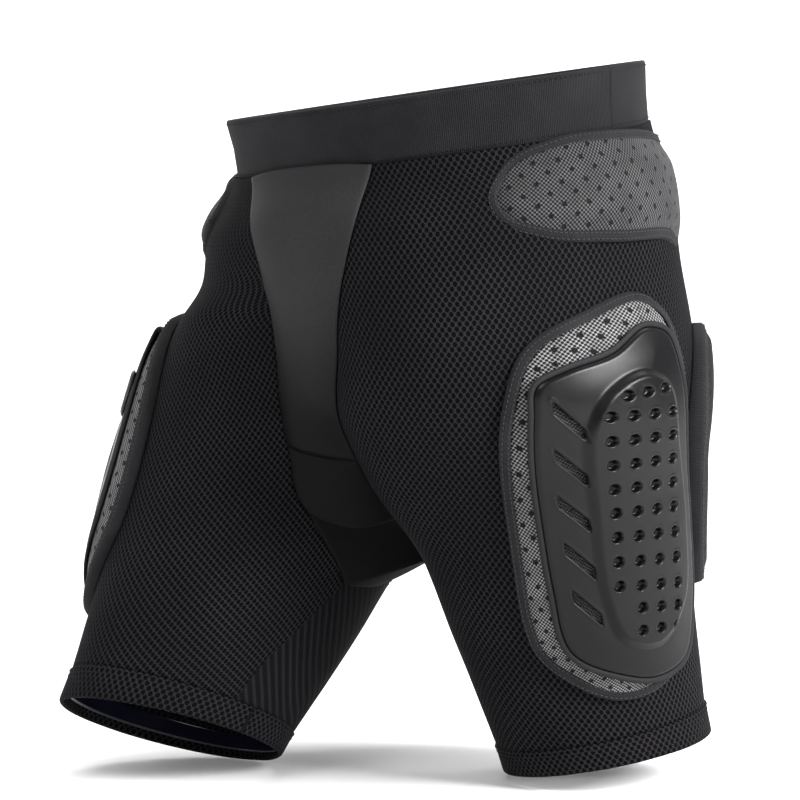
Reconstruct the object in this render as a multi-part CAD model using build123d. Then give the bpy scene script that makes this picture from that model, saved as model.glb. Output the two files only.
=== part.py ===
from build123d import *
from math import cos, radians, sin
import os

# Padded impact shorts for skiing and snowboarding, held open by the shape of a standing wearer.
# Millimetres. Origin: centre of the waist opening. +X wearer's left, +Y back, +Z up.
# The wearer's right leg is swung forward and the left leg back, as in a stride.

# Fabric and padding thicknesses, each piece a little clear of the next
FABRIC = 1.5
BAND_THICKNESS = 2.2
HEM_DEPTH = 20
HEM_THICKNESS = 2.6
GRIPPER_DEPTH = 17
GAP = 0.4
BINDING_WIDTH = 7

THIGH_FOAM = 8.0
COVER = 1.0
SHELL = 2.5
DOME = 3.0
HIP_FOAM = 6.0
HIP_PAD_STANDOFF = 2.2
SEAT_FOAM = 12.0
TAILBONE_FOAM = 8.0

# Trunk rings: centre y, centre z, half width, half depth, backward tilt in degrees
TRUNK = [
    (0, 0, 157, 116, 11.5),
    (7, -38, 153.5, 115, 11.5),
    (4.5, -78, 167, 123.5, 8),
    (7, -128, 168, 126, 4),
    (5, -180, 181, 127, 0),
    (5, -230, 181, 127, 0),
]

# The hip joints turn about one line parallel to X
HIP_Y = -3
HIP_Z = -180
HUB_RADIUS = 96

# Each leg: +1 is the wearer's left. Angles in degrees, flexion positive forwards.
# Top rings: centre x, y, z, half width, half depth, tilt. Low rings: distance down the leg, half width, half depth.
LEGS = {
    1: dict(name="left", flexion=-16, spread=3, hip=(79, -1, -180),
            top=[(34, 4.5, -78, 133, 123.5, 8), (56, 7, -128, 112, 126, 6), (76, 5, -180, 102, 125, 8)],
            low=[(95, 84, 92.5), (170, 72, 83)], hem=(263, 62.5, 70, 7.6, 7)),
    -1: dict(name="right", flexion=27, spread=5, hip=(89, -5, -180),
             top=[(34, 4.5, -78, 133, 123.5, 8), (56, 7, -128, 112, 126, 0), (76, 3, -180, 112, 131, -13.5)],
             low=[(95, 92, 102), (170, 79.5, 91)], hem=(271, 68.5, 77, -21, -5)),
}

# Travel of either leg from upright: 20 back to 40 forwards. The trunk stops 2 degrees short of the leg.
SWING_BACK = -20
SWING_FRONT = 40
TRUNK_FRONT_EDGE = 30
TRUNK_REAR_EDGE = 25

# Middle strip, which stays with the trunk: (y, z, half width) from the waistband round to the seat
FRONT_PANEL = [(-106.5, -63, 54), (-115, -96, 43), (-118.5, -125, 38), (-118, -150, 36), (-112, -187, 33), (-96, -233, 33)]
GUSSET = [(-95, -235.5, 33), (-86, -255, 35), (-72, -277, 36), (-40, -290, 34), (0, -292, 32),
          (45, -283, 31), (82, -262, 31), (108, -235, 31), (124, -202, 31)]
STRIP_HALF_WIDTH = 39.5
CROTCH_REACH = 150

# Pad outlines on the leg: (angle round the leg from its outer side, distance down the leg)
THIGH_PAD = [(0, -42), (10, -32), (18, 0), (21, 40), (22, 100), (19, 160), (9, 200), (-13, 216), (-34, 213),
             (-52, 192), (-63, 168), (-65, 146), (-63, 110), (-57, 60), (-48, 15), (-38, -17), (-20, -33)]
SEAT_PAD = [(44, -6), (60, -4), (82, -7), (102, -2), (113, 30), (113, 90), (104, 128), (86, 156), (62, 169), (42, 166),
            (38, 140), (37, 80), (38, 16)]
SEAT_PAD_DROP = {1: 0, -1: 34}
SEAT_PAD_WIDTH = {1: 1.0, -1: 0.84}
# The right pads are pulled forwards by the raised leg: degrees round the leg and round the trunk
THIGH_PAD_TURN = {1: 0, -1: -12}
HIP_PAD_TURN = {1: 0, -1: -8}
THIGH_SHELL = [(-2, -22), (6, -18), (11, 10), (14, 60), (16, 110), (12, 160), (3, 197), (-14, 204), (-30, 194),
               (-48, 170), (-50, 125), (-47, 70), (-41, 25), (-38, 8), (-29, -1), (-15, -8)]
DOME_OUTLINE = [(-6, 6), (2, 14), (7, 60), (9, 115), (4, 160), (-12, 180), (-26, 170), (-31, 140), (-30, 85),
                (-25, 32), (-16, 12)]
# Pad outlines on the trunk: (angle round the trunk from its left side, distance below the waist)
HIP_PAD = [(-41, 72), (-36, 48), (-22, 36), (0, 37), (24, 44), (44, 52), (54, 76), (55, 102), (48, 119), (36, 119),
           (20, 108), (-8, 107), (-28, 102), (-38, 90)]
TAILBONE_PAD = [(75, 66), (90, 62), (105, 66), (108, 88), (101, 114), (90, 132), (79, 114), (72, 88)]
BADGE = (-44, -35, 54, 92)


def ring(centre, half_width, half_depth, tilt, spread=0):
    across = Vector(cos(radians(spread)), 0, sin(radians(spread)))
    back = Vector(0, cos(radians(tilt)), sin(radians(tilt)))
    plane = Plane(origin=centre, x_dir=across, z_dir=across.cross(back))
    return plane * Ellipse(half_width, half_depth)


def trunk(grow, rows=TRUNK[1:]):
    return loft([ring((0, y, z), a + grow, b + grow, tilt).face() for y, z, a, b, tilt in rows])


def trunk_point(angle, down, grow):
    """A point on the trunk, read between its rings."""
    for upper, lower in zip(TRUNK, TRUNK[1:]):
        if down <= -lower[1]:
            break
    share = (-upper[1] - down) / (lower[1] - upper[1])
    y, z, a, b, tilt = [u + (v - u) * share for u, v in zip(upper, lower)]
    turn = radians(angle)
    back = (b + grow) * sin(turn)
    return Vector((a + grow) * cos(turn), y + back * cos(radians(tilt)), z + back * sin(radians(tilt)))


def leg_rings(side):
    """(distance down the leg, centre, half width, half depth, tilt, spread) for one leg, x positive outwards."""
    leg = LEGS[side]
    bend = radians(leg["flexion"])
    lean = radians(leg["spread"])
    along = Vector(sin(lean), -sin(bend) * cos(lean), -cos(bend) * cos(lean))
    hip = Vector(*leg["hip"])
    rows = [(HIP_Z - z, Vector(x, y, z), a, b, tilt, 0) for x, y, z, a, b, tilt in leg["top"]]
    for distance, a, b in leg["low"]:
        rows.append((distance, hip + along * distance, a, b, -leg["flexion"], leg["spread"]))
    distance, a, b, tilt, spread = leg["hem"]
    rows.append((distance, hip + along * distance, a, b, tilt, spread))
    return rows


def mirror_x(vector, side):
    return Vector(side * vector.X, vector.Y, vector.Z)


def tube(side, grow):
    """The solid inside one leg, thicker by grow all round."""
    faces = []
    for _, centre, a, b, tilt, spread in leg_rings(side):
        faces.append(ring(mirror_x(centre, side), a + grow, b + grow, tilt, side * spread).face())
    return loft(faces)


def leg_frame(side, distance):
    rows = leg_rings(side)
    for upper, lower in zip(rows, rows[1:]):
        if distance <= lower[0]:
            break
    share = (distance - upper[0]) / (lower[0] - upper[0])
    centre = upper[1] + (lower[1] - upper[1]) * share
    a, b, tilt, spread = [upper[i] + (lower[i] - upper[i]) * share for i in (2, 3, 4, 5)]
    across = Vector(cos(radians(spread)), 0, sin(radians(spread)))
    back = Vector(0, cos(radians(tilt)), sin(radians(tilt)))
    return centre, across, back, a, b


def leg_point(side, angle, distance, grow):
    centre, across, back, a, b = leg_frame(side, distance)
    turn = radians(angle)
    point = centre + across * ((a + grow) * cos(turn)) + back * ((b + grow) * sin(turn))
    return mirror_x(point, side)


def punch(points, direction, shrink=0, reach=95):
    """A prism through an outline of points on the body, along one direction, inset by shrink."""
    middle = sum(points, Vector(0, 0, 0)) / len(points)
    plane = Plane(origin=middle, z_dir=direction)
    flat = [plane.to_local_coords(point) for point in points]
    edge = Spline([(p.X, p.Y) for p in flat], periodic=True)
    if shrink:
        count = 40
        runs = [edge % (i / count) for i in range(count)]
        inward = [Vector(-run.Y, run.X, 0) for run in runs]
        spots = [edge @ (i / count) for i in range(count)]
        area = sum(p.X * q.Y - q.X * p.Y for p, q in zip(spots, spots[1:] + spots[:1]))
        sense = 1 if area > 0 else -1
        edge = Spline([spot + side * (sense * shrink) for spot, side in zip(spots, inward)], periodic=True)
    return extrude(plane * make_face(edge), amount=reach, both=True)


def one(shape):
    """The largest solid of a cut, without the slivers."""
    return max(shape.solids(), key=lambda solid: solid.volume)


def save(shape, name):
    export_step(shape, "parts/" + name + ".step")


def slab(x0, x1, y0=-400, y1=400, z0=-700, z1=200):
    return Pos((x0 + x1) / 2, (y0 + y1) / 2, (z0 + z1) / 2) * Box(x1 - x0, y1 - y0, z1 - z0)


def side_prism(points, x0, x1):
    """A prism along X through an outline of (y, z) points."""
    face = make_face(Polyline([(y, z) for y, z in points], close=True))
    return extrude(Plane.YZ.offset(x0) * face, amount=x1 - x0)


def ray(angle, forward, reach=600):
    """A point far from the hip line, at an angle above level, in front of it or behind it."""
    y = -cos(radians(angle)) if forward else cos(radians(angle))
    return (HIP_Y + reach * y, HIP_Z + reach * sin(radians(angle)))


def hub(radius, x0=-300, x1=300):
    disc = Pos(HIP_Y, HIP_Z) * Circle(radius)
    return extrude(Plane.YZ.offset(x0) * disc, amount=x1 - x0)


def strip(rows, thickness):
    """A soft strip that follows (y, z, half width) rows, bowed a little across its width."""
    faces = []
    for index, (y, z, half) in enumerate(rows):
        before = rows[max(index - 1, 0)]
        after = rows[min(index + 1, len(rows) - 1)]
        run = Vector(0, after[0] - before[0], after[1] - before[1]).normalized()
        outward = Vector(1, 0, 0).cross(run)
        plane = Plane(origin=(0, y, z), x_dir=(1, 0, 0), z_dir=Vector(1, 0, 0).cross(outward))
        bow = half * half / 320
        outer = ThreePointArc((-half, -bow), (0, 0), (half, -bow))
        inner = ThreePointArc((half, -bow - thickness), (0, -thickness), (-half, -bow - thickness))
        ends = [Line(outer @ 1, inner @ 0), Line(inner @ 1, outer @ 0)]
        faces.append((plane * make_face([outer, ends[0], inner, ends[1]])).face())
    return loft(faces)


def pad(prefix, body, outline, direction, foam, zone=None, standoff=GAP):
    """Foam, cover and edge binding that follow the body between two skins."""
    inner = body(standoff)
    low = body(standoff + foam)
    foam_punch = punch(outline, direction, shrink=BINDING_WIDTH + 0.7)
    save(one((low - inner) & foam_punch), prefix + "_foam")
    skin = body(standoff + foam + GAP)
    top = body(standoff + foam + GAP + COVER)
    save(one((top - skin) & foam_punch), prefix + "_cover")
    frame = punch(outline, direction) - punch(outline, direction, shrink=BINDING_WIDTH)
    rim = (top - inner) & frame
    save(one(rim & zone if zone else rim), prefix + "_binding")


os.makedirs("parts", exist_ok=True)

# Waistband: a knitted tube from the rim to its lower seam
band_rows = [TRUNK[0], TRUNK[1]]
waistband = trunk(0.6, band_rows) - trunk(0.6 - BAND_THICKNESS, band_rows)
save(one(waistband), "waistband")

# Middle strip
save(one(strip(FRONT_PANEL, FABRIC)), "front_panel")
save(one(strip(GUSSET, FABRIC)), "crotch_gusset")

# Trunk mesh, one half each side, above the edges that the legs swing under
trunk_skin = trunk(0) - trunk(-FABRIC)
above = side_prism([(HIP_Y, HIP_Z), ray(TRUNK_FRONT_EDGE, True), (-600, 300), (600, 300),
                    ray(TRUNK_REAR_EDGE, False)], -300, 300)
above = above + slab(-31, 31, 0, 300, -199, 0)
front_cut = [(0, -20), (55, -20), (55, -62), (44, -97), (39, -125), (36.5, -150), (34, -300), (0, -300)]
seam = TRUNK[1]
under_band = Plane(origin=(0, seam[0], seam[1] - 0.5), x_dir=(1, 0, 0),
                   z_dir=(0, -sin(radians(seam[4])), cos(radians(seam[4]))))
below_seam = extrude(under_band * Rectangle(700, 700), amount=-400)
for side, name in ((1, "left"), (-1, "right")):
    opening = make_face(Polyline([(side * x, z) for x, z in front_cut], close=True))
    opening = extrude(Plane.XZ.offset(20) * opening, amount=300)
    half = slab(0.2, 300) if side > 0 else slab(-300, -0.2)
    piece = (trunk_skin & above & below_seam & half) - opening - hub(HUB_RADIUS + 0.4)
    save(one(piece), name + "_hip_mesh")

# Hip pads at each side and a tailbone pad behind
trunk_solids = {}


def trunk_body(grow):
    if grow not in trunk_solids:
        trunk_solids[grow] = trunk(grow)
    return trunk_solids[grow]


for side, name in ((1, "left"), (-1, "right")):
    turn = HIP_PAD_TURN[side]
    points = [mirror_x(trunk_point(angle + turn, down, HIP_FOAM), side) for angle, down in HIP_PAD]
    pad(name + "_hip_pad", trunk_body, points, (side, 0.05 + sin(radians(turn)), 0), HIP_FOAM, below_seam, HIP_PAD_STANDOFF)
tail_points = [trunk_point(angle, down, TAILBONE_FOAM) for angle, down in TAILBONE_PAD]
pad("tailbone_pad", trunk_body, tail_points, (0, 1, 0), TAILBONE_FOAM)

# Legs
for side in (1, -1):
    leg = LEGS[side]
    name = leg["name"]
    flexion = leg["flexion"]
    solids = {}

    def leg_body(grow):
        if grow not in solids:
            solids[grow] = tube(side, grow)
        return solids[grow]

    skin = leg_body(0) - leg_body(-FABRIC)
    front_edge = TRUNK_FRONT_EDGE - 2 - SWING_FRONT + flexion
    rear_edge = TRUNK_REAR_EDGE - 2 - (flexion - SWING_BACK)
    below = side_prism([(HIP_Y, HIP_Z), ray(rear_edge, False), (600, -700), (-600, -700), ray(front_edge, True)],
                       -300, 300)
    between = above + below
    middle = slab(-STRIP_HALF_WIDTH, STRIP_HALF_WIDTH) & hub(CROTCH_REACH)
    outer_half = slab(STRIP_HALF_WIDTH + 0.4, 300) if side > 0 else slab(-300, -STRIP_HALF_WIDTH - 0.4)

    # Fold: the loose mesh round the hip joint that crumples and stretches as the leg swings
    fold = (skin & outer_half & slab(-300, 300, -300, 300, -260, -60)) - between
    fold = fold + ((skin & outer_half) & hub(HUB_RADIUS))
    save(one(fold), name + "_hip_fold")

    # Leg mesh, inner thigh panel and hem
    centre, across, back, a, b = leg_frame(side, leg["hem"][0])
    across = mirror_x(across, side) * side
    hem_plane = Plane(origin=mirror_x(centre, side), x_dir=across, z_dir=across.cross(back))
    hem_zone = extrude(hem_plane.offset(-30) * Rectangle(400, 400), amount=30 + HEM_DEPTH)
    low_zone = extrude(hem_plane.offset(-30) * Rectangle(400, 400), amount=30 + HEM_DEPTH + 0.4)
    leg_skin = (skin & below) - middle - low_zone - hub(HUB_RADIUS + 0.4)
    mid_centre, mid_across, mid_back, _, _ = leg_frame(side, 130)
    mid_across = mirror_x(mid_across, side) * side
    thigh_plane = Plane(origin=mirror_x(mid_centre, side), x_dir=mid_across, z_dir=mid_across.cross(mid_back))
    quarter = Rectangle(110, 150, align=(Align.MAX if side > 0 else Align.MIN, Align.MIN))
    inner_zone = extrude(thigh_plane * Pos(-side * 30, -6) * quarter, amount=170, both=True)
    inner_zone = inner_zone & slab(-300, 300, -400, 400, -700, -262)
    wide_quarter = Rectangle(110, 150, align=(Align.MAX if side > 0 else Align.MIN, Align.MIN))
    wide_zone = extrude(thigh_plane * Pos(-side * 29.6, -6.4) * wide_quarter, amount=170, both=True)
    wide_zone = wide_zone & slab(-300, 300, -400, 400, -700, -261.6)
    save(one(leg_skin & inner_zone), name + "_inner_thigh_panel")
    save(one(leg_skin - wide_zone), name + "_leg_mesh")
    hem = (leg_body(HEM_THICKNESS - FABRIC) - leg_body(-FABRIC)) & hem_zone
    save(one(hem), name + "_hem")
    grip_zone = extrude(hem_plane.offset(0.8) * Rectangle(400, 400), amount=GRIPPER_DEPTH)
    gripper = (leg_body(-FABRIC - GAP) - leg_body(-FABRIC - GAP - 1.2)) & grip_zone
    save(one(gripper), name + "_gripper")

    # Thigh pad with its hard shell, and the seat pad behind
    turn = THIGH_PAD_TURN[side]
    facing = (side * cos(radians(turn - 22)), sin(radians(turn - 22)), 0)
    points = [leg_point(side, angle + turn, down, THIGH_FOAM) for angle, down in THIGH_PAD]
    pad(name + "_thigh_pad", leg_body, points, facing, THIGH_FOAM)
    base = 3 * GAP + THIGH_FOAM + COVER
    shell_points = [leg_point(side, angle + turn, down, base) for angle, down in THIGH_SHELL]
    dome_points = [leg_point(side, angle + turn, down, base) for angle, down in DOME_OUTLINE]
    plate = (leg_body(base + SHELL) - leg_body(base)) & punch(shell_points, facing, shrink=3.9)
    dome = (leg_body(base + SHELL + DOME) - leg_body(base + 0.5)) & punch(dome_points, facing)
    save(one(plate + dome), name + "_thigh_shell")
    rim = punch(shell_points, facing) - punch(shell_points, facing, shrink=3.5)
    save(one((leg_body(base + 1.6) - leg_body(base)) & rim), name + "_thigh_shell_trim")
    drop = SEAT_PAD_DROP[side]
    width = SEAT_PAD_WIDTH[side]
    seat_points = [leg_point(side, 35 + (angle - 35) * width, down + drop, SEAT_FOAM) for angle, down in SEAT_PAD]
    pad(name + "_seat_pad", leg_body, seat_points, (side * 0.25, 1, 0), SEAT_FOAM)

    # A plain raised badge on the right shell only
    if side < 0:
        first, last, top, bottom = BADGE
        badge_base = base + SHELL + GAP
        corners = [leg_point(side, angle + turn, down, badge_base)
                   for angle, down in ((first, top), (last, top), (last, bottom), (first, bottom))]
        middle_point = sum(corners, Vector(0, 0, 0)) / 4
        badge_plane = Plane(origin=middle_point, z_dir=facing)
        flat = [badge_plane.to_local_coords(corner) for corner in corners]
        outline = make_face(Polyline([(p.X, p.Y) for p in flat], close=True))
        block = extrude(badge_plane * outline, amount=60, both=True)
        save(one((leg_body(badge_base + 1.4) - leg_body(badge_base)) & block), name + "_thigh_badge")
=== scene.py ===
import contextlib
import math

import bmesh
import bpy
import numpy as np
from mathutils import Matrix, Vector


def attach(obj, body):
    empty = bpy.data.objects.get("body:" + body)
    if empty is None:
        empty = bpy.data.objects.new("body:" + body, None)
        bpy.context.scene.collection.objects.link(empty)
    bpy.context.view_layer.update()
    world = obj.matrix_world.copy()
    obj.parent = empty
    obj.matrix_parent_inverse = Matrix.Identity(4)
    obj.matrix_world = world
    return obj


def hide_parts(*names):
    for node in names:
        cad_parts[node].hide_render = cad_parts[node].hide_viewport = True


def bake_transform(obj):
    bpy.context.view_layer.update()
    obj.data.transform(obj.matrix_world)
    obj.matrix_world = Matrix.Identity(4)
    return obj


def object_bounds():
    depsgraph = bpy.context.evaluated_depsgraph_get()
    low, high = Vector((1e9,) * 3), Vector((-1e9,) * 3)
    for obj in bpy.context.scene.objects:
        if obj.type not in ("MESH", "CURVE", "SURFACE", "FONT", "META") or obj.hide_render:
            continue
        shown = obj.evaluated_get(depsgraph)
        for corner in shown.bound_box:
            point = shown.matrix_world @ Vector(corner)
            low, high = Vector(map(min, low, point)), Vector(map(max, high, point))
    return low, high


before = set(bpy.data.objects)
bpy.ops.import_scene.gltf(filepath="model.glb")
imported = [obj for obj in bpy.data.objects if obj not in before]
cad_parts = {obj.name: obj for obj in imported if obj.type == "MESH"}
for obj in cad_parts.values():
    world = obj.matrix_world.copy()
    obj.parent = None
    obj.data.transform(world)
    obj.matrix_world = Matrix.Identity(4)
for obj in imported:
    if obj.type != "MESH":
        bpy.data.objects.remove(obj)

# Padded impact shorts. Shapes are worked out in millimetres and written in metres.
CAD_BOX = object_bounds()
MM = 0.001

# ---- body surfaces
HIP_Z = -180.0
# trunk rings: centre y, centre z, half width, half depth, backward tilt
TRUNK = np.array([
    (0, 0, 157, 116, 11.5), (7, -38, 153.5, 115, 11.5), (4.5, -78, 167, 123.5, 8),
    (7, -128, 168, 126, 4), (5, -180, 178, 127, 0)], float)
# each side: +1 is the wearer's left; degrees, flexion positive forwards
# top rings: centre x, y, z, half width, half depth, tilt; low rings: distance down, half width, half depth
WAIST_RINGS = [(14, 0, 0, 143, 116, 11.5), (20, 7, -38, 133.5, 115, 11.5), (34, 4.5, -78, 133, 123.5, 8)]
LEGS = {
    1: dict(name="left", flexion=-16, spread=3, hip=(79, -1, -180),
            top=WAIST_RINGS + [(56, 7, -128, 112, 126, 6), (76, 5, -180, 102, 125, 8)],
            low=[(95, 84, 92.5), (170, 72, 83)], hem=(263, 62.5, 70, 7.6, 7)),
    -1: dict(name="right", flexion=27, spread=5, hip=(89, -5, -180),
             top=WAIST_RINGS + [(56, 7, -128, 112, 126, 0), (76, 3, -180, 112, 131, -13.5)],
             low=[(95, 92, 102), (170, 79.5, 91)], hem=(271, 68.5, 77, -21, -5)),
}
HEM_DEPTH = 20.0
SEAT_FULLNESS = 1.6         # how much squarer than an oval the seat is
THIGH_FULLNESS = 9.0        # the left thigh, drawn back, is fuller in front beside the crotch


def hermite(xs, ys, x):
    """Smooth curve through rows ys at xs, read at x."""
    xs, ys, x = np.asarray(xs, float), np.asarray(ys, float), np.asarray(x, float)
    slope = np.diff(ys, axis=0) / np.diff(xs)[:, None]
    tangent = np.empty_like(ys)
    tangent[0], tangent[-1] = slope[0], slope[-1]
    before, after = np.diff(xs)[:-1, None], np.diff(xs)[1:, None]
    tangent[1:-1] = (slope[:-1] * after + slope[1:] * before) / (before + after)
    i = np.clip(np.searchsorted(xs, x, side="right") - 1, 0, len(xs) - 2)
    h = (xs[i + 1] - xs[i])[..., None]
    t = (x - xs[i])[..., None] / h
    return ((2 * t**3 - 3 * t**2 + 1) * ys[i] + (t**3 - 2 * t**2 + t) * h * tangent[i]
            + (-2 * t**3 + 3 * t**2) * ys[i + 1] + (t**3 - t**2) * h * tangent[i + 1])


def curve(xs, ys, x):
    return hermite(xs, np.asarray(ys, float)[:, None], x)[..., 0]


def ease(low, high, x):
    t = np.clip((np.asarray(x, float) - low) / (high - low), 0, 1)
    return t * t * (3 - 2 * t)


def leg_table(side):
    leg = LEGS[side]
    bend, lean = math.radians(leg["flexion"]), math.radians(leg["spread"])
    along = np.array([math.sin(lean), -math.sin(bend) * math.cos(lean), -math.cos(bend) * math.cos(lean)])
    rows = [(HIP_Z - z, x, y, z, a, b, tilt, 0) for x, y, z, a, b, tilt in leg["top"]]
    lower = [ring + (-leg["flexion"], leg["spread"]) for ring in leg["low"]] + [leg["hem"]]
    for distance, *ring in lower:
        rows.append((distance, *(np.array(leg["hip"]) + along * distance), *ring))
    end = np.array(rows[-1]) + (np.array(rows[-1]) - np.array(rows[-2])) * 0.2
    return np.array(rows + [end], float)


TABLES = {side: leg_table(side) for side in LEGS}
HEM_END = {side: float(LEGS[side]["hem"][0]) for side in LEGS}


def ring_points(angle, x, y, z, a, b, tilt, spread, power):
    """Points and outward normals of tilted ovals; a power above 2 makes them squarer."""
    turn, tilt, spread = np.radians(angle), np.radians(tilt), np.radians(spread)
    c, s = np.cos(turn), np.sin(turn)
    normal = np.stack([c / a * np.cos(spread), s / b * np.cos(tilt),
                       c / a * np.sin(spread) + s / b * np.sin(tilt)], -1)
    normal /= np.linalg.norm(normal, axis=-1, keepdims=True)
    radius = (np.abs(c)**power + np.abs(s)**power)**(-1 / power)
    across, back = radius * a * c, radius * b * s
    point = np.stack([x + across * np.cos(spread), y + back * np.cos(tilt),
                      z + across * np.sin(spread) + back * np.sin(tilt)], -1)
    return point, normal


def side_surface(side, angle, down, lift=0.0):
    """Points of one side of the shorts. Angle in degrees from the outer side, positive to the back; down in
    millimetres below the hip joint along the leg; lift is the height above the fabric."""
    angle, down = np.broadcast_arrays(np.asarray(angle, float), np.asarray(down, float))
    row = hermite(TABLES[side][:, 0], TABLES[side][:, 1:], down)
    fullness = SEAT_FULLNESS * ease(80, 128, angle) * ease(-150, -60, down) * (1 - ease(10, 110, down))
    point, normal = ring_points(angle, *np.moveaxis(row, -1, 0), 2 + fullness)
    fold = THIGH_FULLNESS * (side > 0) * ease(-172, -128, angle) * (1 - ease(-112, -78, angle))
    lift = np.asarray(lift, float) + fold * ease(-25, 25, down) * (1 - ease(55, 112, down))
    flip = np.array([side, 1, 1])
    return (point + normal * lift[..., None]) * flip, normal * flip


def trunk_surface(angle, down, lift=0.0):
    """Points of the trunk: angle from the left side, positive to the back; down from the waist opening."""
    angle, down = np.broadcast_arrays(np.asarray(angle, float), np.asarray(down, float))
    y, z, a, b, tilt = np.moveaxis(hermite(-TRUNK[:, 1], TRUNK, down), -1, 0)
    point, normal = ring_points(angle, 0, y, z, a, b, tilt, 0, 2)
    return point + normal * np.asarray(lift, float)[..., None], normal


# ---- seam lines on each side
SEAM_DOWN = -142.0          # the waistband seam, as a distance below the hip joint
GUSSET_LOW = {1: 120.0, -1: 145.0}   # the lowest point of the gusset on the inner thigh
REAR_TIP = 22.0             # where the gusset ends at the middle of the back
PANEL_TOP = 78.0            # where the inner thigh panel starts at its rear seam
PANEL_REAR_ANGLE = 128.0    # rear seam of the inner thigh panel
# angles of the seam beside the front panel and the gusset, and of the inseam below them
FRONT_SEAM = {
    1: [(-142, 75.3), (-125, 77.7), (-100, 81.5), (-75, 88.5), (-52, 97.5), (-25, 107), (0, 114), (20, 120),
        (40, 126), (60, 132), (80, 140), (95, 150), (108, 164), (120, 177), (130, 180), (152, 181),
        (170, 181), (300, 181)],
    -1: [(-142, 71.5), (-125, 78), (-100, 87.5), (-75, 95.5), (-52, 102.5), (-25, 110), (0, 115.5), (20, 120),
         (40, 125), (60, 130.5), (80, 138), (95, 145), (104, 148.5), (112, 152.5), (120, 160.5), (130, 171.5),
         (138, 182), (145, 188.5), (152, 187.5), (170, 183), (190, 179), (210, 174.6), (230, 171.5),
         (300, 172)],
}


def front_edge(side, down):
    """Angle of the seam beside the front panel and the gusset's front half, then of the inseam."""
    return -curve(*zip(*FRONT_SEAM[side]), down)


def rear_edge(side, down):
    """Angle of the middle back seam, the gusset's rear half and the inner thigh panel's rear seam."""
    row = hermite(TABLES[side][:, 0], TABLES[side][:, 1:], down)
    middle = np.degrees(np.arccos(np.clip(-(row[..., 0] / row[..., 3]), -1, 1) * 0.985))
    share = ease(REAR_TIP, PANEL_TOP, down)
    return middle * (1 - share) + PANEL_REAR_ANGLE * share


def gusset_rear(side, down):
    """Angle of the gusset's rear half, from its tip at the back to its lowest point."""
    low = GUSSET_LOW[side]
    turn = 360 + float(front_edge(side, np.array(low))) - PANEL_REAR_ANGLE
    stops = [PANEL_TOP, PANEL_TOP + 12, low - 14, low - 5, low]
    lower = curve(stops, [PANEL_REAR_ANGLE + turn * share for share in (0, 0.08, 0.5, 0.8, 1)], down)
    return np.where(down < PANEL_TOP, rear_edge(side, down), lower)


# ---- meshes
HOLE_PITCH = 15.5           # along the edge of a pad, between holes of one row


def make(name, points, faces, uv=None, edge=None, indices=None):
    mesh = bpy.data.meshes.new(name)
    points = np.reshape(points, (-1, 3)) * MM
    mesh.from_pydata([tuple(point) for point in points], [], [tuple(face) for face in faces])
    loops = np.empty(len(mesh.loops), int)
    mesh.loops.foreach_get("vertex_index", loops)
    for label, values in (("UVMap", uv), ("EdgeMap", edge)):
        if values is not None:
            layer = mesh.uv_layers.new(name=label)
            layer.data.foreach_set("uv", (np.reshape(values, (-1, 2))[loops] * MM).ravel())
    mesh.polygons.foreach_set("use_smooth", [True] * len(mesh.polygons))
    if indices is not None:
        mesh.polygons.foreach_set("material_index", indices)
    mesh.update()
    thing = bpy.data.objects.new(name, mesh)
    bpy.context.scene.collection.objects.link(thing)
    return thing


def grid_faces(rows, columns, closed=False, closed_rows=False):
    faces = []
    for i in range(rows if closed_rows else rows - 1):
        for j in range(columns if closed else columns - 1):
            k, m = (j + 1) % columns, (i + 1) % rows
            faces.append((i * columns + j, i * columns + k, m * columns + k, m * columns + j))
    return faces


@contextlib.contextmanager
def opened(thing):
    """A piece's mesh opened for editing and written back."""
    work = bmesh.new()
    work.from_mesh(thing.data)
    yield work
    work.to_mesh(thing.data)
    work.free()


def turn_out(thing):
    """Turns the faces of a closed piece outwards."""
    with opened(thing) as work:
        bmesh.ops.recalc_face_normals(work, faces=work.faces)


def dress(thing, *materials):
    for item in materials:
        thing.data.materials.append(item)
    return thing


def thicken(thing, thickness, *materials):
    """Makes a sheet into a closed solid, inwards."""
    dress(thing, *materials)
    solid = thing.modifiers.new("thickness", "SOLIDIFY")
    solid.thickness = thickness * MM
    solid.offset = -1.0
    solid.use_rim = True
    bpy.context.view_layer.update()
    mesh = bpy.data.meshes.new_from_object(thing.evaluated_get(bpy.context.evaluated_depsgraph_get()))
    thing.modifiers.clear()
    thing.data = mesh
    return thing


def settle(thing, body, slot, *nodes):
    """Gives a piece its body and hides the CAD nodes it stands in for. The slot is not used."""
    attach(thing, body)
    if nodes:
        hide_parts(*nodes)


def tube(name, profile, ring_at, turns, radius, material):
    """A closed band round the body. ring_at gives the ring of each (drop, lift) of the profile."""
    rings = [ring_at(drop, lift) for drop, lift in profile]
    uv = [np.stack([np.radians(turns) * radius, np.full(len(turns), run)], -1) for run in run_along(profile)]
    thing = make(name, rings, grid_faces(len(profile), len(turns), True, True), uv=uv)
    turn_out(thing)
    return dress(thing, material)


def sway(points, size, seed):
    """Smooth noise from a few waves in random directions, about -1 to 1."""
    local = np.random.default_rng(seed)
    total = np.zeros(points.shape[:-1])
    for _ in range(7):
        direction = local.normal(size=3)
        direction /= np.linalg.norm(direction)
        wave = size * local.uniform(0.7, 1.6)
        total += np.sin(points @ direction * (2 * np.pi / wave) + local.uniform(0, 6.28))
    return total / 4


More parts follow.
